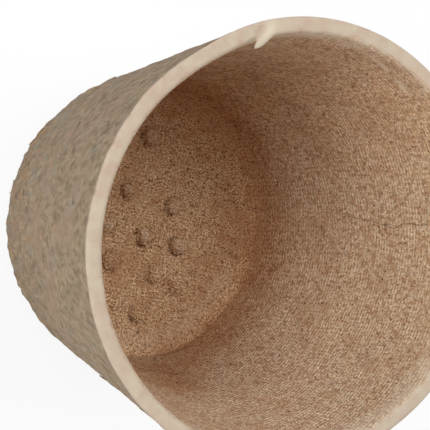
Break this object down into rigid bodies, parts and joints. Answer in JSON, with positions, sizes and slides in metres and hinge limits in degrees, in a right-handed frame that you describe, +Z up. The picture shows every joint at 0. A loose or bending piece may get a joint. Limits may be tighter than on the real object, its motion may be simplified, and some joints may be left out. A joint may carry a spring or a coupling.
{
  "type": "peat pot",
  "caption": "Round tapered seedling pot pressed from peat and wood fibre, with a flat rim, a rounded heel, a flat floor with small nubs and an open mouth.",
  "frame": {"origin": "middle of the flat underside, on the surface that the pot stands on", "axes": "+Z up along the pot's axis, out of the mouth; +X and +Y are level, and the pot is round, so their direction only places the nubs"},
  "size_m": [0.0798, 0.0798, 0.066],
  "materials": {
    "outside_fibre": "rough felted peat and wood fibre, grey-beige with pale and rust-brown flecks",
    "inside_fibre": "brown pressed peat and wood fibre with the imprint of a fine wire screen",
    "rim_fibre": "pale compacted fibre, pressed flat and nearly smooth"
  },
  "bodies": {
    "root": {"floor": "inside_fibre", "heel": "outside_fibre", "side_wall": "outside_fibre", "rim": "rim_fibre", "floor_nubs": "inside_fibre"}
  },
  "joints": []
}
